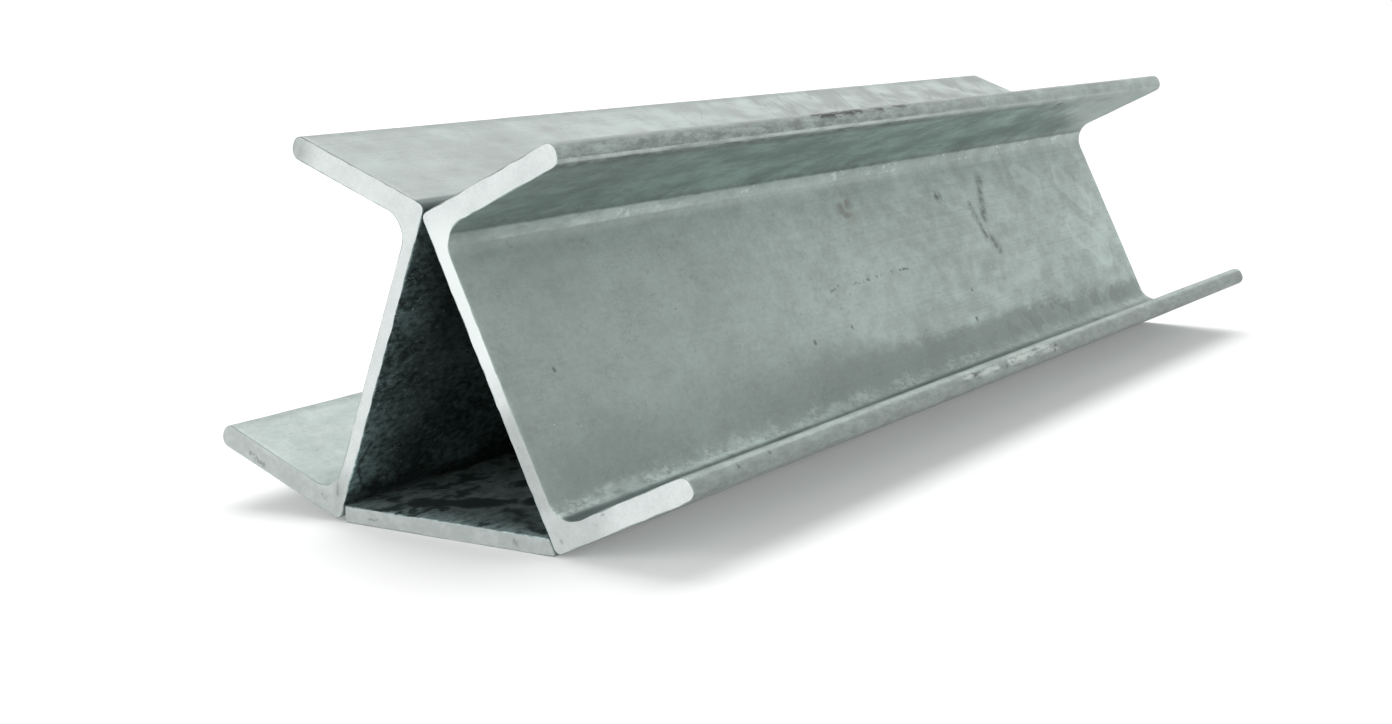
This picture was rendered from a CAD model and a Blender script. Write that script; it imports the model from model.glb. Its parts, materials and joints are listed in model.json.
"""Galvanised 45-degree corner post: the zinc finish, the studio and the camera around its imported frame."""

import json
import math

import bmesh
import bpy
import numpy as np
from mathutils import Matrix, Vector


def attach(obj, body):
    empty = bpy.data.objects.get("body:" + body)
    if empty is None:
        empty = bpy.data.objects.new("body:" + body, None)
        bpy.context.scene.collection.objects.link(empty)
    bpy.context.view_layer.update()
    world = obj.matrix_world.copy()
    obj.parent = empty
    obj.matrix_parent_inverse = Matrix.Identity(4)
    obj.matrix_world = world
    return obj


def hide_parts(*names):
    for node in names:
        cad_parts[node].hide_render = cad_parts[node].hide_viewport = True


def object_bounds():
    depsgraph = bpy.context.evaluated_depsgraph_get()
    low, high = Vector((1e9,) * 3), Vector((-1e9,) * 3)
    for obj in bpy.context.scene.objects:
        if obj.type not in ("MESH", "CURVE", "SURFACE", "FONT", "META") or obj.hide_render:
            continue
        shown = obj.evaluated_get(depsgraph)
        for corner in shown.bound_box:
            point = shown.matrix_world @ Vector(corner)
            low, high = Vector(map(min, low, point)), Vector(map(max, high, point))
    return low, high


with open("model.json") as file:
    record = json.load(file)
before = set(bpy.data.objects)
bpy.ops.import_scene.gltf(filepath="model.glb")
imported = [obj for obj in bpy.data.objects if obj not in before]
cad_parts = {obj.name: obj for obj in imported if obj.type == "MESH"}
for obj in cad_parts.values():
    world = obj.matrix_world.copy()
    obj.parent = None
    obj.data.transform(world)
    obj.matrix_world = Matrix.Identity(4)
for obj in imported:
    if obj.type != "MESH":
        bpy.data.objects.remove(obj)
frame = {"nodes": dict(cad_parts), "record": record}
cad_low, cad_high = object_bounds()
MM = 0.001


def in_mm(length):
    """A length of the frame in millimetres, to a tenth."""
    return round(length / MM, 1)


# ---- The post's section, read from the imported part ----

MERGE = 0.001 * MM
STRAIGHT = math.radians(0.3)
END_CLEAR = 5 * MM
ARC_STEP = 0.5 * MM
FLAT_STEP = 1.6 * MM


def mount(name):
    """The record's mount of that name."""
    return next(m for m in frame["record"]["mounts"] if m["name"] == name)


def section_loop(node, place):
    """The node's outline at that place along the post, as (x, z) points in order."""
    cut = bmesh.new()
    cut.from_mesh(frame["nodes"][node].data)
    bmesh.ops.remove_doubles(cut, verts=cut.verts, dist=MERGE)
    geometry = [*cut.verts, *cut.edges, *cut.faces]
    plane = {"plane_co": (0, place, 0), "plane_no": (0, 1, 0)}
    section = bmesh.ops.bisect_plane(cut, geom=geometry, clear_outer=True, **plane)
    edges = {item for item in section["geom_cut"] if isinstance(item, bmesh.types.BMEdge)}
    point = min((end for edge in edges for end in edge.verts), key=lambda end: (end.co.x, end.co.z))
    loop = []
    while edges:
        loop.append((point.co.x, point.co.z))
        edge = next(edge for edge in point.link_edges if edge in edges)
        edges.remove(edge)
        point = edge.other_vert(point)
    cut.free()
    return np.array(loop)


def section_ring(node, place):
    """The corners of the node's outline at that place, anticlockwise from the leftmost one."""
    ring = section_loop(node, place)
    before = ring - np.roll(ring, 1, axis=0)
    after = np.roll(ring, -1, axis=0) - ring
    crossed = before[:, 0] * after[:, 1] - before[:, 1] * after[:, 0]
    turn = np.arctan2(crossed, np.sum(before * after, axis=1))
    ring = ring[np.abs(turn) > STRAIGHT]
    ring = ring if turn.sum() > 0 else ring[::-1]
    return np.roll(ring, -np.argmin(ring[:, 0]), axis=0)


def even_ring(ring, shortest, longest):
    """The outline without arc points closer than shortest, its long runs cut to at most longest."""
    kept = [ring[0]]
    for point, after in zip(ring[1:], np.roll(ring, -1, axis=0)[1:]):
        run_starts = np.linalg.norm(after - point) > 2 * shortest
        if run_starts or np.linalg.norm(point - kept[-1]) >= shortest:
            kept.append(point)
    even = []
    for point, after in zip(kept, kept[1:] + kept[:1]):
        pieces = max(1, math.ceil(np.linalg.norm(after - point) / longest))
        even += [point + (after - point) * step / pieces for step in range(pieces)]
    return np.array(even)


def ring_normals(ring):
    """Outward unit normals at an outline's points."""
    along = np.roll(ring, -1, axis=0) - np.roll(ring, 1, axis=0)
    normals = np.stack([along[:, 1], -along[:, 0]], axis=1)
    return normals / np.linalg.norm(normals, axis=1, keepdims=True)


def ring_girth(ring):
    """How far each point lies round the outline from its start."""
    return np.cumsum(np.linalg.norm(ring - np.roll(ring, 1, axis=0), axis=1))


class Channel:
    """One channel's outline and its own directions, up the web from the lower heel and out from its back."""

    def __init__(self, side):
        self.side = side
        self.node = side + "_channel"
        axis = mount(side + "_web_seat")["axis"]
        self.out = np.array([axis[0], axis[2]])
        self.up = np.array([-self.out[1], self.out[0]])
        self.up *= np.sign(self.up[1])
        self.ring = even_ring(section_ring(self.node, cad_low.y + END_CLEAR), ARC_STEP, FLAT_STEP)
        self.normals = ring_normals(self.ring)
        heights, reaches = self.ring @ self.up, self.ring @ self.out
        self.heel = self.up * heights.min() + self.out * reaches.min()
        self.depth = np.ptp(heights)
        self.width = np.ptp(reaches)
        self.web = self.from_heel(side + "_web_seat") @ self.out
        self.flange = self.from_heel(side + "_flange_bearing") @ self.up

    def from_heel(self, name):
        """The way from the lower heel to a mount, in x and z."""
        position = mount(name)["pos_m"]
        return np.array([position[0], position[2]]) - self.heel


RIGHT, LEFT = Channel("right"), Channel("left")


# ---- Relief: smooth seeded noise over the outline and the length ----


def smooth(x):
    """0 below 0, 1 above 1, and an even curve between."""
    x = np.clip(x, 0, 1)
    return x * x * (3 - 2 * x)


def window(x, low, high, soft):
    """1 between low and high, falling to 0 over soft outside them."""
    return smooth((x - low) / soft + 1) * smooth((high - x) / soft + 1)


def noise(across, along, cell_across, cell_along, seed):
    """Smooth noise from -1 to 1 over two lengths, with one random value a cell."""
    a, b = np.broadcast_arrays(across / cell_across, along / cell_along)
    cell_a, cell_b = np.floor(a).astype(int), np.floor(b).astype(int)
    low_a, low_b = cell_a.min(), cell_b.min()
    random = np.random.default_rng(seed)
    table = random.uniform(-1, 1, (cell_a.max() - low_a + 2, cell_b.max() - low_b + 2))
    ease_a, ease_b = smooth(a - cell_a), smooth(b - cell_b)
    row, column = cell_a - low_a, cell_b - low_b
    near = table[row, column] * (1 - ease_b) + table[row, column + 1] * ease_b
    far = table[row + 1, column] * (1 - ease_b) + table[row + 1, column + 1] * ease_b
    return near * (1 - ease_a) + far * ease_a


# ---- Meshes ----

LENGTH_STEP = 1.6 * MM
SAWN_EDGE = 0.3 * MM
SAWN_EDGE_WEAR = 0.6
SAWN_EDGE_TURNS = (0, 30, 60, 90)  # degrees
WEAR_LENGTH = 2.4 * MM


def stations():
    """Places along the post with each one's inset, which rounds the sawn edges at both ends."""
    turns = np.radians(SAWN_EDGE_TURNS)
    edge_steps = SAWN_EDGE * (1 - np.cos(turns))
    edge_insets = SAWN_EDGE * (1 - np.sin(turns))
    near, far = cad_low.y, cad_high.y
    count = round((far - near - 2 * SAWN_EDGE) / LENGTH_STEP)
    middle = np.linspace(near + SAWN_EDGE, far - SAWN_EDGE, count + 1)[1:-1]
    places = np.concatenate([near + edge_steps, middle, (far - edge_steps)[::-1]])
    insets = np.concatenate([edge_insets, np.zeros(len(middle)), edge_insets[::-1]])
    return places, insets


def tube_mesh(name, sections, places, masks):
    """A closed mesh through one outline for each place along the post. Its ends take material 1."""
    rows, columns = sections.shape[:2]
    along = np.broadcast_to(places[:, None], (rows, columns))
    points = np.stack([sections[:, :, 0], along, sections[:, :, 1]], axis=2).reshape(-1, 3)
    index = np.arange(rows * columns).reshape(rows, columns)
    right, back = np.roll(index, -1, axis=1)[:-1], index[1:]
    quads = np.stack([index[:-1], back, np.roll(index, -1, axis=1)[1:], right], axis=2)
    faces = [*quads.reshape(-1, 4).tolist(), index[0].tolist(), index[-1][::-1].tolist()]
    mesh = bpy.data.meshes.new(name)
    mesh.from_pydata(points.tolist(), [], faces)
    sides = len(quads) * columns
    mesh.polygons.foreach_set("material_index", [0] * sides + [1, 1])
    mesh.polygons.foreach_set("use_smooth", [True] * sides + [False, False])
    for mask, values in masks.items():
        attribute = mesh.attributes.new(mask, "FLOAT", "POINT")
        attribute.data.foreach_set("value", np.ravel(values).astype(np.float32))
    mesh.update()
    return mesh


def swept_mesh(name, ring, normals, push, masks, seed):
    """The outline carried along the post, each point pushed out by push, with worn sawn edges."""
    places, insets = stations()
    wear = 1 + SAWN_EDGE_WEAR * noise(ring_girth(ring), np.sign(places)[:, None], WEAR_LENGTH, 1, seed)
    offset = push - insets[:, None] * wear
    sections = ring[None, :, :] + normals[None, :, :] * offset[:, :, None]
    return tube_mesh(name, sections, places, masks)


def add_piece(mesh, node, materials):
    """The mesh as an object that stands for a CAD node."""
    for material in materials:
        mesh.materials.append(material)
    piece = bpy.data.objects.new(node + "_galvanised", mesh)
    bpy.context.scene.collection.objects.link(piece)
    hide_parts(node)
    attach(piece, "root")


# ---- Zinc relief of the channels ----

FILM = 0.08 * MM
# Waves in the film, in millimetres: height, and cell round the outline and along the post
FILM_WAVES = ((0.07, 38, 55), (0.03, 9, 14), (0.02, 3.5, 5))
RUN_HEIGHT = 0.26 * MM
RUNS_FOOT = 2.6 * MM
RUNS_TOP = 11.5 * MM
# Stretches along the post where zinc ran down the web, in metres
RUNS_LENGTHS = {"right": ((-0.207, -0.118), (-0.092, -0.05)), "left": ((-0.12, 0.03), (0.1, 0.16))}
RUNS_ELSEWHERE = 0.25
BEAD_HEIGHT = 0.1 * MM
DRIP_HEIGHT = 0.12 * MM
LUMP_HEIGHT = 0.12 * MM


def slot_faces(channel, height, reach):
    """Whether each point of the outline lies in the channel's slot, short of the rounded toes."""
    within = (reach > 0.7 * channel.web) & (reach < channel.width - 3.5 * MM)
    return within & (height > 0.7 * channel.flange) & (height < channel.depth - 0.7 * channel.flange)


def zinc_film(girth, along, seed):
    """The film's thickness, which waves gently."""
    film = FILM
    for step, (swing, cell_round, cell_along) in enumerate(FILM_WAVES):
        film = film + swing * MM * noise(girth, along, cell_round * MM, cell_along * MM, seed + step)
    return film


def zinc_runs(channel, height, along, seed):
    """Where zinc ran down onto the lower root, as a mask: lumpy, up to a ragged top."""
    top = RUNS_TOP + 2.2 * MM * noise(height, along, 4 * MM, 5.5 * MM, seed)
    spells = sum(window(along, low, high, 8 * MM) for low, high in RUNS_LENGTHS[channel.side])
    spells = RUNS_ELSEWHERE + (1 - RUNS_ELSEWHERE) * np.clip(spells, 0, 1)
    lumps = smooth(0.6 + 0.6 * noise(height, along, 2.6 * MM, 2.9 * MM, seed + 1))
    return window(height, channel.flange + RUNS_FOOT, top, 1.6 * MM) * spells * lumps


def zinc_beads(channel, height, along, seed):
    """A row of low beads under the upper root, as a mask."""
    root = channel.depth - channel.flange
    row = window(height, root - 4.6 * MM, root - 2.6 * MM, 0.9 * MM)
    return row * smooth(0.35 + 0.9 * noise(height, along, 6 * MM, 7 * MM, seed))


def zinc_drips(channel, height, reach, along, seed):
    """Zinc that thickened on the toes' inner corners, as a mask."""
    root = channel.depth - channel.flange
    toe = window(reach, channel.width - 1.6 * MM, channel.width, 1.2 * MM)
    corner = window(height, root, root + 1.5 * MM, 1 * MM)
    corner = corner + window(height, channel.flange - 1.5 * MM, channel.flange, 1 * MM)
    return toe * corner * (0.6 + 0.5 * noise(height, along, 9 * MM, 17 * MM, seed))


def channel_relief(channel, seed):
    """How far the zinc stands out over the channel, and where it ran and which faces are which, as masks."""
    local = channel.ring - channel.heel
    height, reach = local @ channel.up, local @ channel.out
    leaving = channel.normals @ channel.out
    along = stations()[0][:, None]
    girth = ring_girth(channel.ring)
    slot_side = slot_faces(channel, height, reach)
    inside = (leaving < -0.7) * window(height, 5 * MM, channel.depth - 3 * MM, 1 * MM)
    push = zinc_film(girth, along, seed)
    runs = slot_side * (leaving > 0.35) * zinc_runs(channel, height, along, seed + 3)
    push = push + RUN_HEIGHT * runs
    beads = slot_side * (height > channel.depth / 2) * zinc_beads(channel, height, along, seed + 6)
    push = push + BEAD_HEIGHT * beads
    push = push + DRIP_HEIGHT * zinc_drips(channel, height, reach, along, seed + 7)
    push = push + LUMP_HEIGHT * inside * noise(girth, along, 2.6 * MM, 3.2 * MM, seed + 8)
    masks = {"runs": np.clip(runs, 0, 1), "slot_side": slot_side + 0 * along, "inside": inside + 0 * along}
    return push, masks


# ---- Shader helpers ----

METALLIC = 0.35
# A colour Mix node's sockets
MIX_FACTOR, MIX_A, MIX_B, MIX_RESULT = 0, 6, 7, 2


class Nodes:
    """A node tree, with short calls for the nodes that the finishes and the studio share."""

    def __init__(self, tree):
        self.tree = tree

    def add(self, kind, inputs, output=0, **settings):
        """A node with its settings, each input a value or another node's output; gives its output."""
        node = self.tree.nodes.new("ShaderNode" + kind)
        for key, value in settings.items():
            setattr(node, key, value)
        for key, value in inputs.items():
            self.feed(node.inputs[key], value)
        return node.outputs[output]

    def feed(self, socket, value):
        """The value set on a socket, or linked to it if it is another node's output."""
        if isinstance(value, bpy.types.NodeSocket):
            self.tree.links.new(value, socket)
        else:
            socket.default_value = value

    def math(self, operation, *values):
        """What a Math node makes of the values."""
        return self.add("Math", dict(enumerate(values)), operation=operation)

    def times(self, *values):
        """The product of several values."""
        product = values[0]
        for value in values[1:]:
            product = self.math("MULTIPLY", product, value)
        return product

    def total(self, start, *terms, centre=0.5):
        """start and each term's value less the centre, times its weight."""
        for value, weight in terms:
            start = self.math("MULTIPLY_ADD", self.math("SUBTRACT", value, centre), weight, start)
        return start

    def rest(self, share):
        """What a share leaves of 1."""
        return self.math("SUBTRACT", 1.0, share)

    def off(self, value, level):
        """How far the value is from a level, on either side."""
        return self.math("ABSOLUTE", self.math("SUBTRACT", value, level))

    def most(self, masks):
        """The strongest of several masks."""
        strongest = masks[0]
        for mask in masks[1:]:
            strongest = self.math("MAXIMUM", strongest, mask)
        return strongest

    def between(self, value, low, high, to_low=0.0, to_high=1.0):
        """The value eased from to_low at low to to_high at high."""
        inputs = {"Value": value, "From Min": low, "From Max": high, "To Min": to_low, "To Max": to_high}
        return self.add("MapRange", inputs, interpolation_type="SMOOTHSTEP")

    def band(self, value, low, high, soft):
        """1 between low and high, eased to 0 over soft outside them."""
        rise = self.between(value, low - soft, low)
        return self.times(rise, self.between(value, high + soft, high))

    def vector(self, operation, *values):
        """What a Vector Math node makes of the values."""
        outputs = {"DOT_PRODUCT": "Value", "LENGTH": "Value", "DISTANCE": "Value"}
        keys = {"SCALE": (0, "Scale")}.get(operation, (0, 1))
        inputs = dict(zip(keys, values))
        return self.add("VectorMath", inputs, outputs.get(operation, "Vector"), operation=operation)

    def split(self, vector):
        """A vector's three parts."""
        node = self.tree.nodes.new("ShaderNodeSeparateXYZ")
        self.feed(node.inputs[0], vector)
        return node.outputs

    def mix(self, factor, a, b, blend="MIX"):
        """a with as much as factor of it replaced by b, or blended with it."""
        node = self.tree.nodes.new("ShaderNodeMix")
        node.data_type = "RGBA"
        node.blend_type = blend
        self.feed(node.inputs[MIX_FACTOR], factor)
        self.feed(node.inputs[MIX_A], a)
        self.feed(node.inputs[MIX_B], b)
        return node.outputs[MIX_RESULT]

    def multiply(self, factor, a, b):
        """a with as much as factor of it multiplied by b."""
        return self.mix(factor, a, b if isinstance(b, bpy.types.NodeSocket) else (*b, 1), "MULTIPLY")

    def coat(self, colour, over, *shares):
        """The colour with another over it, which covers as much as the product of the shares."""
        return self.mix(self.times(*shares), colour, over)


class Shader(Nodes):
    """One material's node tree and the place on its surface, with short calls for what zinc is made of."""

    def __init__(self, name, channel=None):
        self.material = bpy.data.materials.new(name)
        self.material.use_nodes = True
        super().__init__(self.material.node_tree)
        self.surface = self.tree.nodes["Principled BSDF"]
        self.place = self.section_place(channel) if channel else self.part_place()
        self.parts = self.split(self.place)

    def part_place(self):
        """Place in the part in millimetres."""
        return self.vector("SCALE", self.add("TexCoord", {}, "Object"), 1 / MM)

    def section_place(self, channel):
        """Place on a channel in millimetres, as (up the web, along the post, out from the web's back)."""
        position = self.add("TexCoord", {}, "Object")
        start = (channel.heel[0], 0, channel.heel[1])
        local = self.vector("SCALE", self.vector("SUBTRACT", position, start), 1 / MM)
        up = self.vector("DOT_PRODUCT", local, (channel.up[0], 0, channel.up[1]))
        along = self.vector("DOT_PRODUCT", local, (0, 1, 0))
        out = self.vector("DOT_PRODUCT", local, (channel.out[0], 0, channel.out[1]))
        return self.add("CombineXYZ", {"X": up, "Y": along, "Z": out})

    def attribute(self, name):
        """One of the mesh's own masks."""
        return self.add("Attribute", {}, "Fac", attribute_name=name)

    def noise(self, cell, detail=2.0, roughness=0.55, distortion=0.0, place=None):
        """Noise around 0.5, its lumps about cell long in each direction, in millimetres."""
        scaled = self.vector("DIVIDE", place or self.place, cell)
        inputs = {"Vector": scaled, "Scale": 1.0, "Detail": detail, "Roughness": roughness}
        return self.add("TexNoise", {**inputs, "Distortion": distortion})

    def patches(self, cell, low, high, least=0.0, **how):
        """A mask that rises from least to 1 where noise goes from low to high."""
        return self.between(self.noise(cell, **how), low, high, least)

    def spells(self, cell, low, high, detail, least=0.0):
        """A mask of patches that change only along the post."""
        along = self.vector("MULTIPLY", self.place, (0, 1, 0))
        return self.patches((1, cell, 1), low, high, least, detail=detail, place=along)

    def ragged(self, cell, reach):
        """The place shifted by up to about reach, differently from cell to cell."""
        shifts = self.add("TexNoise", {"Vector": self.place, "Scale": 1 / cell, "Detail": 2.0}, "Color")
        shifts = self.vector("SUBTRACT", shifts, (0.5, 0.5, 0.5))
        return self.vector("ADD", self.place, self.vector("SCALE", shifts, 2.0 * reach))

    def specks(self, cell, radius, share, offset=(0, 0, 0)):
        """Round spots up to radius wide, in that share of the cells, as a mask."""
        spot = self.tree.nodes.new("ShaderNodeTexVoronoi")
        self.feed(spot.inputs["Vector"], self.vector("ADD", self.place, offset))
        self.feed(spot.inputs["Scale"], 1 / cell)
        pick = self.split(spot.outputs["Color"])[0]
        size = self.between(pick, 1 - share, 1.0, 0.0, radius / cell)
        inner = self.math("SUBTRACT", size, spot.outputs["Distance"])
        return self.between(inner, 0.0, 0.25 * radius / cell)

    def near(self, place, start, end, radius, soft=0.35, strength=1.0):
        """A mask within radius of the straight line between two places."""
        line = Vector(end) - Vector(start)
        away = self.vector("SUBTRACT", place, start)
        share = self.math("DIVIDE", self.vector("DOT_PRODUCT", away, tuple(line)), line.length_squared)
        share = self.math("MAXIMUM", self.math("MINIMUM", share, 1.0), 0.0)
        foot = self.vector("SCALE", tuple(line), share)
        distance = self.vector("LENGTH", self.vector("SUBTRACT", away, foot))
        return self.between(distance, radius + soft, max(0.0, radius - soft), 0.0, strength)

    def dress(self, colour, height, relief, roughness, metallic=METALLIC):
        """The material with its colour, its gloss, and a bump of the height times relief, in millimetres."""
        bump = self.add("Bump", {"Height": height, "Distance": relief * MM, "Strength": 1.0})
        self.feed(self.surface.inputs["Base Color"], colour)
        self.feed(self.surface.inputs["Roughness"], roughness)
        self.feed(self.surface.inputs["Metallic"], metallic)
        self.feed(self.surface.inputs["Normal"], bump)
        return self.material


def zinc(level, red=0.85, blue=0.95):
    """The zinc's slightly green grey at that level of green."""
    return (red * level, level, blue * level, 1)


def pale_zinc(level):
    """The almost neutral zinc over the sawn ends."""
    return zinc(level, 0.93, 0.985)


def dark_zinc(level):
    """The greener zinc of damp and dark places."""
    return zinc(level, 0.64, 0.97)


# ---- Finish of the channels ----

# Levels on the section, in millimetres: up the web from the lower heel, or out from the web's back
DEPTH = in_mm(RIGHT.depth)
WEB_FACE = in_mm(RIGHT.web)
TOE_FACE = in_mm(RIGHT.width)
LOWER_FLANGE_TOP = in_mm(RIGHT.flange)
UPPER_FLANGE_UNDER = DEPTH - LOWER_FLANGE_TOP
ROOT_EDGE = UPPER_FLANGE_UNDER - 2.0
# Places along the post, in millimetres from its middle
NEAR_END = in_mm(cad_low.y)
HALF_LENGTH = in_mm(cad_high.y)

# How strongly each channel's lower root is lined with dark
ROOT_LINE = {"right": 1.0, "left": 0.0}
# What the duller faces keep of the colour, in red, green and blue
TOP_FACE_TINT = (0.59, 0.57, 0.575)
UNDER_FLANGE_TINT = (0.935, 1.0, 0.98)
LEDGE_TINT = (0.92, 0.9, 0.9)
FAR_WEB_TINT = (0.93, 0.94, 0.94)

# In the finishes, places, cells and widths are in millimetres, and levels and shares run from 0 to 1.


def zinc_tone(s, mottling=1.0, softness=0.0):
    """Levels around 0.5 for the base colour, with the mottle and the grain that it is made of."""
    level = s.noise((34, 60, 30), detail=3)
    mottle = s.noise((6, 11, 6), detail=5, roughness=0.6)
    mottle = s.mix(softness, mottle, s.noise((8, 14, 7), detail=1.5, roughness=0.4))
    patch = s.noise((13, 16, 13), detail=3)
    grain = s.noise((0.8, 1.1, 0.8), detail=2)
    rolled = s.noise((1.1, 160, 1.1), detail=2)
    uneven = s.total(0, (mottle, 0.75), (patch, 0.45), (rolled, 0.16))
    tone = s.math("MULTIPLY_ADD", uneven, mottling, 0.5)
    return s.total(tone, (level, 0.4), (grain, 0.3)), mottle, grain


def veins(s, place):
    """A mask of fine dark wriggling lines, which lie in patches."""
    course = s.noise((2.6, 4.6, 2.6), detail=1.5, roughness=0.6, place=place)
    line = s.between(s.off(course, 0.5), 0.028, 0.004)
    return s.times(line, s.patches((8, 13, 8), 0.5, 0.6, detail=3, place=place))


def slanted_streaks(s, tone):
    """The tone with pale and dark streaks that cross the flange at a slant."""
    _, along, out = s.parts
    slant = s.math("MULTIPLY_ADD", out, -0.6, along)
    lane = s.add("CombineXYZ", {"X": s.math("DIVIDE", slant, 21), "Y": s.math("DIVIDE", out, 70)})
    streak = s.add("TexNoise", {"Vector": lane, "Scale": 1, "Detail": 2, "Roughness": 0.55})
    line = s.between(s.off(streak, 0.47), 0.02, 0)
    share = s.between(along, -90, 20)
    tone = s.total(tone, (streak, s.times(share, 1.15)))
    return s.math("MULTIPLY_ADD", s.times(line, share), -0.24, tone)


def base_zinc(s, side, top_face):
    """The plain zinc, duller on the top face, with the mottle and the grain that it is made of."""
    _, along, _ = s.parts
    mottling = s.math("MULTIPLY_ADD", top_face, 0.5, s.between(along, -170, 130, 0.9, 1.7))
    tone, mottle, grain = zinc_tone(s, mottling, top_face)
    fine = s.noise((1.9, 3.2, 1.9), detail=2)
    tone = s.total(tone, (fine, s.times(s.between(along, 80, -80, 0, 0.36), s.rest(top_face))))
    if side == "left":
        tone = s.mix(top_face, tone, slanted_streaks(s, tone))
    colour = s.mix(s.between(tone, 0, 1), zinc(0.345), zinc(0.63))
    dulled = s.times(top_face, s.between(along, -60, -200, 0.85, 1))
    return s.multiply(dulled, colour, TOP_FACE_TINT), mottle, grain


def dull_ledge(s, colour, slot_side):
    """The left channel's lower flange a little duller, seen from above."""
    up, _, out = s.parts
    ledge = s.times(slot_side, s.between(up, 20, 8), s.between(out, 10, 30))
    return s.multiply(ledge, colour, LEDGE_TINT)


def dull_low_web(s, colour, slot_side, mottle):
    """The web dull low down, up to an uneven edge, and the whole slot duller towards the near end."""
    up, along, out = s.parts
    full = s.math("SUBTRACT", 21.5, s.between(along, 80, 190, 0, 4))
    top = s.math("ADD", full, s.between(along, -60, 10, 18, 5))
    low = s.times(slot_side, s.between(s.total(up, (mottle, 9)), top, full), s.between(out, 20, 10))
    low = s.times(low, s.between(along, -150, -30, 0.15, 0.56))
    near_end = s.times(slot_side, s.between(along, 10, NEAR_END, 0, 0.36))
    return s.coat(colour, zinc(0.16, 0.82), s.math("ADD", low, near_end))


def speckle(s, colour):
    """Dark veins, dark specks large and small, and a dusting of pale ones."""
    up, along, _ = s.parts
    colour = s.coat(colour, zinc(0.14), veins(s, s.place), 0.22)
    colour = s.coat(colour, zinc(0.12), s.specks(15, 0.6, 0.5), 0.7)
    pocked = s.patches((17, 24, 17), 0.42, 0.6, detail=3)
    pocked = s.times(pocked, s.between(along, -180, 40, 0.4, 1), s.between(up, 90, 20, 0.4, 1))
    colour = s.coat(colour, zinc(0.13), s.specks(4.2, 0.55, 0.5, (3, 5, 2)), pocked, 0.55)
    dusted = s.patches((14, 20, 14), 0.45, 0.6)
    return s.coat(colour, zinc(0.85), s.specks(2.6, 0.35, 0.3, (31, 7, 3)), dusted, 0.35)


def darken_notch(s, colour, slot_side):
    """The groove between the two upper heels dark."""
    up, _, out = s.parts
    notch = s.times(s.rest(slot_side), s.between(up, DEPTH - 5, DEPTH - 3), s.between(out, 4.6, 2.8))
    return s.coat(colour, dark_zinc(0.07), notch, 0.85)


def under_flange_level(s, wobble):
    """How light the upper flange's underside is: cloudy, with a slanting edge to a cleaner far end."""
    up, along, out = s.parts
    cloud = s.noise((16, 34, 13), detail=3)
    grain = s.noise((2.2, 6, 2.2), detail=4, roughness=0.6)
    tone = s.total(0.5, (cloud, 1.1), (grain, 0.55))
    tone = s.math("MINIMUM", tone, s.between(along, 130, 180, 1, 0.5))
    root_share = s.between(up, ROOT_EDGE, UPPER_FLANGE_UNDER, 0.62, 1)
    edge = s.total(s.math("MULTIPLY_ADD", out, 2.57, along), (wobble, 16))
    clean = s.between(edge, 231, 243)
    dull = s.times(s.between(along, 60, 150, 1, 0.82), s.rest(clean))
    far_end = s.math("ADD", dull, s.times(clean, 0.85))
    return s.times(root_share, far_end, s.between(tone, 0.28, 0.72, 0.73, 1.2))


def line_upper_root(s, colour, slot_side, level):
    """A thin broken pale line just below the root's straight edge, with brighter flecks in spells."""
    _, along, out = s.parts
    line = s.times(slot_side, s.band(level, ROOT_EDGE - 2.6, ROOT_EDGE - 0.3, 0.7), s.between(out, 30, 20))
    line = s.times(line, s.between(along, NEAR_END + 3, NEAR_END + 25, 0.2, 1))
    even = s.patches((3, 11, 3), 0.32, 0.62, detail=5, roughness=0.65, least=0.3)
    bright = s.math("ADD", s.between(along, 60, -90, 0.1, 0.34), s.band(along, -158, -128, 22))
    colour = s.coat(colour, zinc(0.75, 0.88), line, even, s.math("MINIMUM", bright, 0.65))
    flecks = s.patches((1.6, 3.6, 1.6), 0.55, 0.64, detail=3)
    return s.coat(colour, zinc(0.9, 0.9), line, flecks, s.spells(21, 0.48, 0.6, detail=1), 0.5)


def shade_upper_root(s, colour, slot_side):
    """The upper flange's underside and root, dull down to a straight edge with a thin pale line below it."""
    up, _, _ = s.parts
    wobble = s.noise((5, 9, 5), detail=3)
    level = s.total(up, (wobble, 0.7))
    above = s.times(slot_side, s.between(level, ROOT_EDGE - 0.35, ROOT_EDGE + 0.35))
    shade = s.vector("SCALE", UNDER_FLANGE_TINT, under_flange_level(s, wobble))
    return line_upper_root(s, s.multiply(above, colour, shade), slot_side, level)


def line_lower_root(s, colour, slot_side, strength):
    """A dark line where the web meets the lower flange, and a pale, lumpy band of runs above it."""
    up, along, out = s.parts
    near_root = s.times(slot_side, s.between(out, 24, 14))
    lumps = s.noise((1.4, 2.7, 1.4), detail=4, roughness=0.65)
    lengths = s.spells(26, 0.35, 0.6, detail=2, least=0.3)
    top = s.between(s.noise((5, 7, 5), detail=3), 0.3, 0.7, 11.5, 17.5)
    band = s.times(near_root, s.between(s.math("SUBTRACT", top, up), 0, 4.5), s.between(up, 8.9, 9.9))
    band = s.times(band, s.between(lumps, 0.42, 0.56), lengths)
    band = s.times(band, s.between(along, 130, -120, 0.45, 0.95))
    colour = s.coat(colour, zinc(0.8, 0.88), band, 0.42)
    crest = s.times(near_root, s.band(up, 9.3, 10.1, 0.5), s.between(along, -60, -130), lengths)
    colour = s.coat(colour, zinc(0.85, 0.88), crest, s.between(lumps, 0.36, 0.5), 0.35)
    dark = s.times(near_root, s.between(up, s.between(along, -50, 150, 9.4, 10.6), 8.2))
    faded = s.spells(33, 0.36, 0.6, detail=3, least=0.6)
    return s.coat(colour, zinc(0.1, 0.7), dark, faded, 0.85 * strength)


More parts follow.
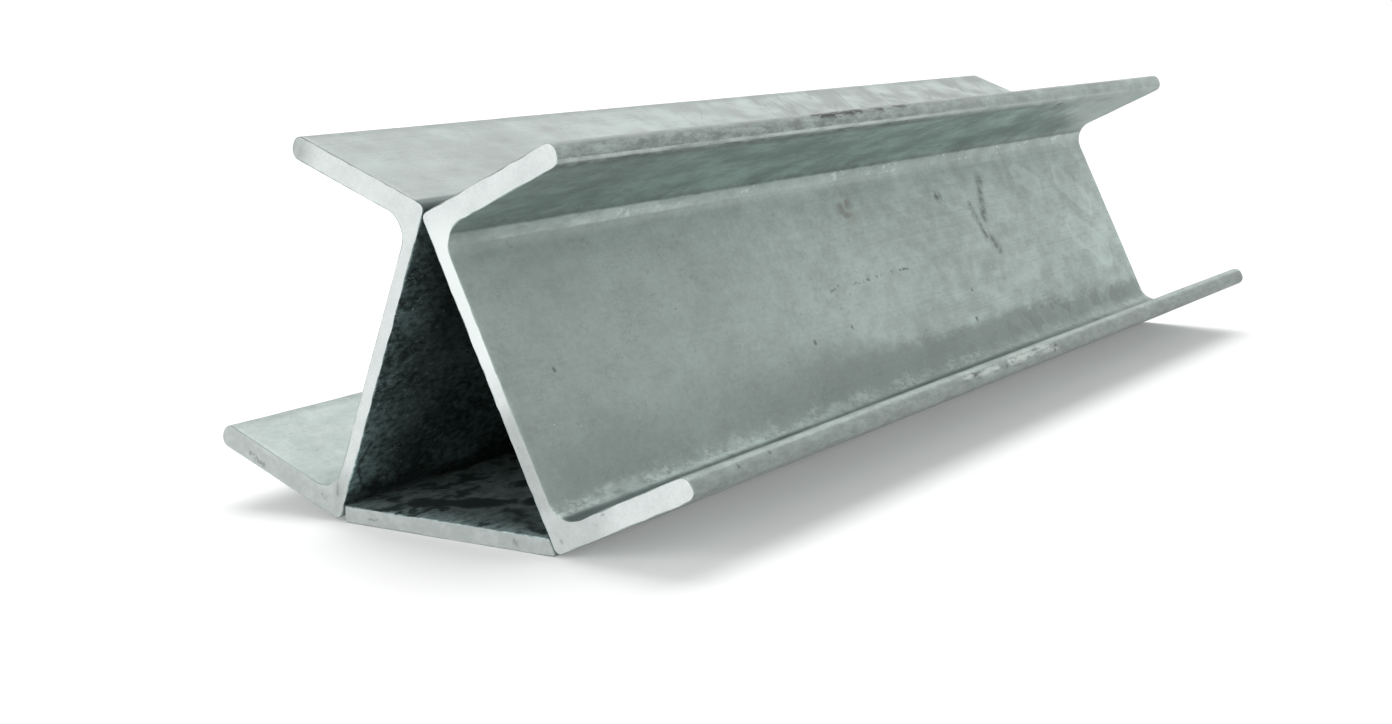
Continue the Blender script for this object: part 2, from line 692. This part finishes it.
def toe_lines(s, colour):
    """The toes dull, with a pale line along the corner next to the slot and fine dark flecks."""
    up, along, out = s.parts
    cleaner = s.times(s.between(up, 50, 60), s.between(along, -60, 60), 0.45)
    toe = s.times(s.between(out, TOE_FACE - 6, TOE_FACE - 3), s.rest(cleaner))
    upper = s.between(up, 40, 60)
    mottle = s.noise((2.5, 8, 2.5), detail=6, roughness=0.72)
    spread = s.math("MULTIPLY_ADD", upper, 0.36, 0.3)
    dullness = s.math("MULTIPLY_ADD", upper, -0.04, 0.71)
    dullness = s.total(dullness, (s.between(mottle, 0.34, 0.66), spread))
    dullness = s.times(dullness, s.between(s.times(upper, along), 60, 190, 1, 0.76))
    colour = s.coat(colour, zinc(0.2), toe, dullness)
    broken = s.patches((3, 14, 3), 0.35, 0.6, detail=3, least=0.3)
    tip = s.times(s.between(out, TOE_FACE - 3.2, TOE_FACE - 2.2), broken)
    lower_line = s.band(up, LOWER_FLANGE_TOP - 1.4, LOWER_FLANGE_TOP - 0.6, 0.5)
    colour = s.coat(colour, zinc(0.78, 0.88), lower_line, tip, 0.18)
    upper_line = s.band(up, UPPER_FLANGE_UNDER + 0.6, UPPER_FLANGE_UNDER + 1.1, 0.35)
    return s.coat(colour, zinc(0.8, 0.9), upper_line, tip, s.between(along, 60, -60, 0.2, 0.6))


# Marks on the right channel. Pits are given as up the web, along the post, and radius.
WEB_PITS = (
    (48.6, -201, 0.7), (34.4, -63, 0.9), (35.9, -35.5, 0.7),
    (26.9, 14.9, 0.5), (24.9, 57.5, 0.9), (36.2, 63.3, 0.7),
)
TOE_PITS = ((3.8, -201.7, 0.6), (4.6, -185, 0.6), (3, -29, 0.6), (2.1, 11.6, 0.8))
# The others are given as start, end and radius.
PIT_ROW = (
    ((49.6, -41.3), (51.1, -33.5), 0.35),
    ((50.3, -25), (50.6, -10), 0.4),
    ((50.9, -8), (51, 20), 0.6),
)
LONG_SMEARS = (((79, 108), (63, 99), 2), ((69, 91), (56, 94), 1.5), ((54.5, 98), (49.5, 101), 1.8))
SHORT_SMEAR = ((76, 66), (73, 70), 1.8)
TOE_PATCHES = (((4.3, -61), (3.4, -36), 1.2), ((3.9, -26), (3.7, 13), 1.4))
TOE_SMUDGES = (
    ((98.3, -88), (98.7, -56), 1.1),
    ((98.8, -49), (98.6, -41), 0.9),
    ((98.9, -32), (98.9, -24), 0.8),
)
TIDES = (((79, 146), (72, 160), 6), ((72, 188), (60, 204), 7), ((49, 182), (36, 202), 8))
UNDER_PIT = ((UPPER_FLANGE_UNDER, 115.5), (UPPER_FLANGE_UNDER, 117.5), 1.1)
UNDER_PIT_REACH = 45.8
STAIN = (78, -7)
STAIN_RADIUS = 10
STAIN_COLOUR = (0.235, 0.235, 0.215, 1)


def marks(s, place, lines, face, soft):
    """One mask for lines given as start, end and radius, on a face that far out from the web's back."""
    ends = [((*start, face), (*end, face), radius) for start, end, radius in lines]
    return s.most([s.near(place, start, end, radius, soft) for start, end, radius in ends])


def pits(s, place, spots, face):
    """One mask for pits on a face that far out."""
    lines = [((up, along), (up + 0.1, along), radius) for up, along, radius in spots]
    return marks(s, place, lines, face, 0.45)


def far_web(s, colour):
    """The web's far half a little darker, with faint tide marks and dark lanes drawn along it."""
    up, along, out = s.parts
    web = s.times(s.between(up, 90, 84), s.between(out, 12, 8))
    colour = s.multiply(s.times(web, s.between(along, 90, 190)), colour, FAR_WEB_TINT)
    cloud = s.noise((17, 22, 17), detail=2)
    rim, body = s.between(s.off(cloud, 0.5), 0.05, 0), s.between(cloud, 0.5, 0.56)
    tide = s.total(0, (rim, 0.12), (body, 0.08), centre=0)
    colour = s.coat(colour, zinc(0.85), tide, web, s.between(along, 30, 130))
    course = s.noise((2.6, 90, 2.6), detail=3)
    lanes = s.times(s.between(s.off(course, 0.5), 0.016, 0), web)
    return s.coat(colour, zinc(0.16), lanes, s.between(along, -40, 60), 0.22)


def web_stain(s, colour):
    """A broken brownish stain high on the web."""
    stain = s.between(s.vector("DISTANCE", s.place, (*STAIN, WEB_FACE)), STAIN_RADIUS, 2)
    broken = s.patches((4, 6, 4), 0.34, 0.6, detail=4)
    return s.coat(colour, STAIN_COLOUR, stain, broken, 0.8)


def drawn_out(s):
    """A mask of grain drawn out along the post."""
    return s.patches((1.6, 9, 1.6), 0.38, 0.6, detail=4)


def toe_patches(s, colour):
    """Bare pale patches along the lower toe, with dark dashes in them."""
    patches = marks(s, s.place, TOE_PATCHES, TOE_FACE, 1.3)
    colour = s.coat(colour, zinc(0.8, 0.92), patches, drawn_out(s), 0.5)
    dashes = s.times(patches, s.patches((1.5, 5, 1.5), 0.42, 0.34, detail=3))
    return s.coat(colour, zinc(0.05), dashes, 0.8)


def web_smears(s, colour):
    """Dark cloudy smears across the web, the long ones in a wider shade."""
    smears = marks(s, s.ragged(6, 1.8), (*LONG_SMEARS, SHORT_SMEAR), WEB_FACE, 1.6)
    cloudy = s.patches((2.4, 2.8, 2.4), 0.38, 0.64, detail=4, roughness=0.65)
    colour = s.coat(colour, zinc(0.1), smears, cloudy, 0.8)
    shade = marks(s, s.ragged(7, 2), LONG_SMEARS, WEB_FACE, 3)
    return s.coat(colour, zinc(0.16), shade, 0.34)


def tide_rims(s, colour):
    """The pale rims of dried patches at the web's far end."""
    blurred = s.ragged(9, 4)
    inner = s.times(marks(s, blurred, TIDES, WEB_FACE, 5), 0.7)
    rims = s.math("SUBTRACT", marks(s, blurred, TIDES, WEB_FACE, 1.6), inner)
    return s.coat(colour, zinc(0.85), rims, 0.5)


def toe_smudges(s, colour):
    """Nearly black smudges along the upper toe."""
    smudges = marks(s, s.ragged(4, 0.6), TOE_SMUDGES, TOE_FACE, 0.8)
    return s.coat(colour, zinc(0.03), smudges, s.between(drawn_out(s), 0, 0.4))


def pitting(s, colour):
    """A scratched row of pits, single pits on the web and the toe, and one under the upper flange."""
    uneven = s.ragged(1.3, 0.7)
    broken = s.patches((1.6, 1.9, 1.6), 0.46, 0.6)
    colour = s.coat(colour, zinc(0.09), marks(s, uneven, PIT_ROW, WEB_FACE, 0.4), broken, 0.75)
    single = s.most([pits(s, uneven, WEB_PITS, WEB_FACE), pits(s, uneven, TOE_PITS, TOE_FACE)])
    colour = s.coat(colour, zinc(0.08), single, 0.7)
    return s.coat(colour, zinc(0.07), marks(s, uneven, [UNDER_PIT], UNDER_PIT_REACH, 0.4), 0.8)


def right_marks(s, colour):
    """The right channel's own marks, each over the last."""
    for layer in (far_web, web_stain, toe_patches, web_smears, tide_rims, toe_smudges, pitting):
        colour = layer(s, colour)
    return colour


# Dried edge of a puddle on the left channel's back: up the web and along the post
DRIED_EDGE = (
    (25, -220.5), (18, -223.5), (11.3, -220), (8.6, -215.8),
    (7.4, -211.7), (6.9, -197.7), (8.1, -190.3),
)


def dried_edge(s):
    """A mask of the thin dark line that a puddle left on the left channel's back."""
    legs = [(start, end, 0.55) for start, end in zip(DRIED_EDGE, DRIED_EDGE[1:])]
    return marks(s, s.ragged(3, 0.8), legs, 0, 0.7)


def hollow_level(s, cloud):
    """How light the hollow's sides are: palest at the mouths, dull along the foot and at the top."""
    up, along, _ = s.parts
    inward = s.math("SUBTRACT", HALF_LENGTH, s.math("ABSOLUTE", along))
    mouth = s.between(inward, 20, 0, 1, 2)
    top = s.between(s.times(s.between(up, 44, 58), s.between(inward, 13, 25)), 0, 1, 1, 0.55)
    foot = s.between(s.total(up, (cloud, 14)), 10.5, 8, 1, 0.45)
    return s.times(mouth, top, foot, s.between(up, 60, 90, 1, 0.6))


def hollow_zinc(s):
    """Dark, damp-looking zinc on the hollow's sides, with the lumps that it is made of."""
    lumps = s.noise((1.6, 3.2, 1.6), detail=3, roughness=0.6)
    cloud = s.noise((18, 30, 18), detail=3)
    tone = s.total(0.47, (lumps, 1.3), (cloud, 1))
    colour = s.mix(s.between(tone, 0.1, 1), dark_zinc(0.03), zinc(0.27, 0.7, 0.97))
    colour = s.coat(colour, zinc(0.45, 0.75, 0.97), veins(s, s.vector("SCALE", s.place, 1.4)), 0.45)
    scattered = s.patches((9, 14, 9), 0.44, 0.6)
    specks = s.specks(2.6, 0.5, 0.5)
    colour = s.coat(colour, zinc(0.6, 0.75, 0.97), specks, scattered, 0.55)
    tide = s.between(s.off(cloud, 0.42), 0.01, 0)
    colour = s.coat(colour, dark_zinc(0.01), tide, 0.7)
    return s.vector("SCALE", colour, hollow_level(s, cloud)), lumps


def channel_finish(name, channel):
    """Dull hot-dip zinc on a channel's rolled faces."""
    s = Shader(name, channel)
    slot_side, inside = s.attribute("slot_side"), s.attribute("inside")
    top_face = s.times(s.rest(slot_side), s.between(s.parts[0], DEPTH - 3, DEPTH - 1))
    colour, mottle, grain = base_zinc(s, channel.side, top_face)
    if channel.side == "left":
        colour = dull_ledge(s, colour, slot_side)
    colour = dull_low_web(s, colour, slot_side, mottle)
    colour = speckle(s, colour)
    colour = darken_notch(s, colour, slot_side)
    colour = shade_upper_root(s, colour, slot_side)
    colour = line_lower_root(s, colour, slot_side, ROOT_LINE[channel.side])
    colour = toe_lines(s, colour)
    if channel.side == "right":
        colour = right_marks(s, colour)
    colour = s.coat(colour, zinc(0.75), s.attribute("runs"), 0.3)
    back, lumps = hollow_zinc(s)
    if channel.side == "left":
        back = s.coat(back, dark_zinc(0.02), dried_edge(s), 0.75)
    colour = s.mix(inside, colour, back)
    height = s.total(grain, (mottle, 2), (s.times(lumps, inside), 4), centre=0)
    return s.dress(colour, height, relief=0.06, roughness=s.between(mottle, 0.3, 0.7, 0.42, 0.6))


# ---- Finish of the sawn ends, the plate and the welds ----

# Marks on the sawn near end, across and up the part: start, end, radius, and a strength if it isn't 1
SAWN_BRIGHT = {"right": (((6, 82), (19, 55), 3, 0.9),)}
SAWN_DULL = {
    "right": (((36, 4), (50, 9), 7, 0.45), ((35, 15), (26, 34), 4, 0.8)),
    "left": (
        ((-41, 4), (-82, 21), 6, 0.8),
        ((-40, 4), (-37, 11), 4, 0.8),
        ((-50.5, 109), (-48, 107.5), 5),
    ),
    "plate": (((-36, 2.5), (39, 2.5), 6, 0.82),),
}
SAWN_PITS = {
    "right": (
        ((55, 13.5), (55.6, 13.8), 0.4),
        ((52.6, 10.5), (53.2, 10.7), 0.3),
        ((41, 5), (41.4, 4.6), 0.3),
    ),
    "left": (
        ((-73.5, 17), (-67.5, 13.4), 0.7),
        ((-44.5, 7.6), (-43.6, 6.4), 0.5),
        ((-38.5, 8), (-38, 14), 0.4),
    ),
    "plate": (((25.6, 2.6), (26.2, 2.2), 0.7), ((-27, 1.8), (-24, 2.6), 0.4)),
}


def end_marks(s, place, spots, soft):
    """One mask for spots on the sawn near end."""
    return s.most([
        s.near(place, (x, NEAR_END, z), (to_x, NEAR_END, to_z), radius, soft, *strength)
        for (x, z), (to_x, to_z), radius, *strength in spots
    ])


def sawn_finish(name, side):
    """Bright zinc over a sawn end."""
    s = Shader(name)
    cloud = s.noise((9, 9, 9), detail=5, roughness=0.6)
    grain = s.noise((0.7, 0.7, 0.7), detail=3)
    tone = s.total(0.5, (cloud, 0.7), (grain, 0.5))
    colour = s.mix(s.between(tone, 0.2, 0.8), pale_zinc(0.64), pale_zinc(0.8))
    if side in SAWN_BRIGHT:
        colour = s.coat(colour, pale_zinc(0.9), end_marks(s, s.place, SAWN_BRIGHT[side], 12))
    blotch = s.noise((2.6, 2.6, 2.6), detail=4, roughness=0.65)
    dull = s.times(end_marks(s, s.place, SAWN_DULL[side], 5), s.between(blotch, 0.3, 0.62, 0.7, 1))
    colour = s.coat(colour, zinc(0.4, 0.9, 0.975), dull)
    colour = s.coat(colour, zinc(0.3), s.specks(5.5, 0.32, 0.35), 0.5)
    colour = s.coat(colour, zinc(0.2), s.specks(2.9, 0.4, 0.4, (1, 2, 3)), dull, 0.6)
    pitted = end_marks(s, s.ragged(1.6, 0.9), SAWN_PITS[side], 0.5)
    broken = s.patches((1.2, 1.2, 1.2), 0.36, 0.56, detail=3)
    colour = s.coat(colour, zinc(0.16), pitted, broken, 0.6)
    return s.dress(colour, s.math("ADD", grain, blotch), relief=0.05, roughness=0.55, metallic=0.1)


# The plate's upper face, and puddles of zinc on it: start, end and radius
PLATE_TOP = in_mm(max(vertex.co.z for vertex in frame["nodes"]["closing_plate"].data.vertices))
PUDDLES = (
    ((-18, -211), (-3, -203.5), 5.2),
    ((6, -193), (11, -195), 2),
    ((6, -206), (14, -209), 1.7),
    ((16, -212), (24, -215), 1.5),
    ((26, -218), (32, -221), 1.3),
)


def hollow_floor(s):
    """The hollow's dark floor, with dried pale parts, dark puddles and a paler mouth, and its own clouds."""
    across, along, _ = s.parts
    cloud = s.noise((9, 14, 9), detail=6, roughness=0.62, distortion=0.3)
    lumps = s.noise((2, 4, 2), detail=5, roughness=0.7)
    puddles = [((*start, PLATE_TOP), (*end, PLATE_TOP), radius) for start, end, radius in PUDDLES]
    shore = s.ragged(7, 5)
    wet = s.most([s.near(shore, start, end, radius, 1.5) for start, end, radius in puddles])
    dried = s.times(s.between(s.total(cloud, (lumps, 0.1)), 0.4, 0.46), s.rest(wet))
    crust = s.mix(s.between(lumps, 0.3, 0.7), dark_zinc(0.1), zinc(0.3, 0.8, 0.98))
    floor = s.mix(dried, dark_zinc(0.04), crust)
    brightness = s.between(across, -30, -5, 1.2, 2.1)
    mouth = s.between(s.math("ABSOLUTE", along), HALF_LENGTH - 10, HALF_LENGTH, 0.95, brightness)
    return s.vector("SCALE", floor, mouth), cloud


def plate_finish(name):
    """Dull zinc on the closing plate, dark and puddled where it closes the hollow."""
    s = Shader(name)
    tone, _, grain = zinc_tone(s)
    colour = s.mix(s.between(tone, 0, 1), zinc(0.28), zinc(0.52))
    floor, cloud = hollow_floor(s)
    colour = s.mix(s.between(s.parts[2], PLATE_TOP - 0.7, PLATE_TOP - 0.2), colour, floor)
    return s.dress(colour, s.math("ADD", cloud, grain), relief=0.1, roughness=0.5)


def weld_finish(name):
    """Zinc over a weld's ripples, dull between them and brighter on their crests."""
    s = Shader(name)
    tone, mottle, grain = zinc_tone(s)
    colour = s.mix(s.between(tone, 0, 1), zinc(0.24), zinc(0.43))
    colour = s.coat(colour, zinc(0.1), s.between(s.attribute("ripple"), 0.8, 0.2, 0, 0.8))
    return s.dress(colour, s.math("ADD", mottle, grain), relief=0.08, roughness=0.45)


# ---- The pieces ----

PLATE_ARC_STEP = 0.3 * MM
PLATE_WAVE = 0.05 * MM
WELD_ARC_STEP = 0.25 * MM
WELD_FLAT_STEP = 0.45 * MM
WELD_STEP = 0.3 * MM
WELD_END = 2.4 * MM
WELD_END_SHARE = 0.45
RIPPLE_PITCH = 2.1 * MM
RIPPLE_HEIGHT = 0.24 * MM
RIPPLE_MIDDLE = 0.75
RIPPLE_BOW = 1.6 * MM
RIPPLE_WANDER = 0.5 * MM
SWELL_HEIGHT = 0.07 * MM


def add_channel(channel, seed):
    """A channel's zinc, with its sawn ends."""
    push, masks = channel_relief(channel, seed)
    mesh = swept_mesh(channel.node, channel.ring, channel.normals, push, masks, seed + 9)
    rolled = channel_finish(channel.side + "_zinc", channel)
    sawn = sawn_finish(channel.side + "_sawn", channel.side)
    add_piece(mesh, channel.node, [rolled, sawn])


def add_plate(seed):
    """The closing plate's zinc, with its sawn ends."""
    ring = even_ring(section_ring("closing_plate", cad_low.y + END_CLEAR), PLATE_ARC_STEP, FLAT_STEP)
    along = stations()[0][:, None]
    push = PLATE_WAVE * noise(ring_girth(ring), along, 20 * MM, 30 * MM, seed)
    mesh = swept_mesh("closing_plate", ring, ring_normals(ring), push, {}, seed + 1)
    materials = [plate_finish("plate_zinc"), sawn_finish("plate_sawn", "plate")]
    add_piece(mesh, "closing_plate", materials)


def weld_ripples(across, along, seed):
    """Curved ripples along a weld, from 0 between them to 1 on their crests."""
    wander = RIPPLE_WANDER * noise(0 * across, along, 1, 6 * MM, seed)
    phase = (along + wander + RIPPLE_BOW * 4 * across**2) / RIPPLE_PITCH
    return np.sqrt(np.abs(np.sin(np.pi * phase)))


def weld_thickness(along, near, far):
    """The share of its thickness that a weld keeps at each place, drawn in round at both ends."""
    depth_in = np.clip(np.minimum(along - near, far - along) / WELD_END, 0, 1)
    return WELD_END_SHARE + (1 - WELD_END_SHARE) * np.sqrt(1 - (1 - depth_in) ** 2)


def add_weld(node, facing, finish, seed):
    """A stitch of weld with ripples on the side that faces up or down, drawn in at both ends."""
    lengths = [vertex.co.y for vertex in frame["nodes"][node].data.vertices]
    near, far = min(lengths), max(lengths)
    ring = even_ring(section_ring(node, (near + far) / 2), WELD_ARC_STEP, WELD_FLAT_STEP)
    normals = ring_normals(ring)
    open_side = smooth(facing * normals[:, 1] / 0.4)
    places = np.linspace(near, far, round((far - near) / WELD_STEP) + 1)
    along = places[:, None]
    across = (ring[:, 0] - ring[:, 0].mean()) / np.ptp(ring[:, 0])
    ripple = weld_ripples(across, along, seed)
    swell = noise(0 * across, along, 1, 5 * MM, seed + 1)
    push = open_side * (RIPPLE_HEIGHT * (ripple - RIPPLE_MIDDLE) + SWELL_HEIGHT * swell)
    root = ring[np.argmin(facing * ring[:, 1])]
    bead = ring[None, :, :] + normals[None, :, :] * push[:, :, None]
    sections = root + (bead - root) * weld_thickness(along, near, far)[:, :, None]
    masks = {"ripple": 1 - open_side * (1 - ripple)}
    add_piece(tube_mesh(node, sections, places, masks), node, [finish, finish])


def add_welds(seed):
    """All the stitches: those at the apex show their ripples above, and the plate's below."""
    finish = weld_finish("weld_zinc")
    for step, node in enumerate(sorted(name for name in frame["nodes"] if "weld" in name)):
        add_weld(node, 1 if "apex" in node else -1, finish, seed + 2 * step)


# ---- Studio ----

WORLD_SHOWN = 1.0
WORLD_LEVEL = 0.43
FLOOR_SIZE = 40
FLOOR_SHOWN = 0.95
FLOOR_TONE = 0.45
FLOOR_GLOW = 0.18
# The lamps: where each one's light comes from, its spread in degrees, and the level that it lights to
LAMPS = {
    "front": ((-0.1, -1.0, 0.35), 50, 0.55),
    "top": ((-0.25, 0.42, 1.0), 50, 0.7),
    "side": ((1.0, -0.1, 0.3), 80, 0.22),
}


def light_path_level(nodes, shown, elsewhere):
    """One level where camera, glossy or transmission rays look, and another for the light that is cast."""
    looks = ("Is Camera Ray", "Is Glossy Ray", "Is Transmission Ray")
    seen = nodes.most([nodes.add("LightPath", {}, look) for look in looks])
    return nodes.add("MapRange", {"Value": seen, "To Min": elsewhere, "To Max": shown})


def add_world():
    """White where it is seen, and a plain even light elsewhere."""
    world = bpy.data.worlds.new("studio")
    bpy.context.scene.world = world
    world.use_nodes = True
    nodes = Nodes(world.node_tree)
    background = nodes.tree.nodes["Background"]
    nodes.feed(background.inputs["Color"], (1, 1, 1, 1))
    nodes.feed(background.inputs["Strength"], light_path_level(nodes, WORLD_SHOWN, WORLD_LEVEL))


def add_floor():
    """A pale floor that keeps the post's shadow, and throws less light back than it shows."""
    bpy.ops.mesh.primitive_plane_add(size=FLOOR_SIZE)
    floor = bpy.context.object
    floor.name = "floor"
    material = bpy.data.materials.new("pale_floor")
    material.use_nodes = True
    nodes = Nodes(material.node_tree)
    nodes.tree.nodes.remove(nodes.tree.nodes["Principled BSDF"])
    diffuse = nodes.add("BsdfDiffuse", {"Color": light_path_level(nodes, FLOOR_SHOWN, FLOOR_TONE)})
    lift = light_path_level(nodes, FLOOR_GLOW, 0.0)
    shown = nodes.add("MixShader", {"Fac": lift, 1: diffuse, 2: nodes.add("Emission", {})})
    nodes.feed(nodes.tree.nodes["Material Output"].inputs["Surface"], shown)
    floor.data.materials.append(material)


def add_lamp(name, light_from, spread, level):
    """A broad lamp far off, which lights a white surface that faces it to the level."""
    data = bpy.data.lights.new(name, "SUN")
    data.angle = math.radians(spread)
    data.energy = level * math.pi
    lamp = bpy.data.objects.new(name, data)
    bpy.context.scene.collection.objects.link(lamp)
    lamp.rotation_euler = (-Vector(light_from)).to_track_quat("-Z", "Y").to_euler()


# ---- Camera ----

# Fitted to the photo: place in metres, angles in degrees, and lens in millimetres on the sensor's width
CAMERA_PLACE = (0.351748, -0.639561, 0.145979)
CAMERA_AZIMUTH = 32.738
CAMERA_ELEVATION = 10.198
CAMERA_ROLL = -0.919
CAMERA_LENS = 51.477
SENSOR_WIDTH = 36


def add_camera():
    """The camera at the photo's own view."""
    azimuth, elevation, roll = (math.radians(a) for a in (CAMERA_AZIMUTH, CAMERA_ELEVATION, CAMERA_ROLL))
    level = math.cos(elevation)
    back = Vector((math.sin(azimuth) * level, -math.cos(azimuth) * level, math.sin(elevation)))
    data = bpy.data.cameras.new("camera")
    data.sensor_width = SENSOR_WIDTH
    data.lens = CAMERA_LENS
    camera = bpy.data.objects.new("camera", data)
    bpy.context.scene.collection.objects.link(camera)
    turn = (-back).to_track_quat("-Z", "Y").to_matrix() @ Matrix.Rotation(roll, 3, "Z")
    camera.matrix_world = Matrix.Translation(CAMERA_PLACE) @ turn.to_4x4()
    bpy.context.scene.camera = camera


add_channel(RIGHT, seed=100)
add_channel(LEFT, seed=200)
add_plate(seed=300)
add_welds(seed=400)
add_world()
add_floor()
for lamp, facts in LAMPS.items():
    add_lamp(lamp, *facts)
add_camera()
bpy.context.scene.view_settings.view_transform = "Standard"
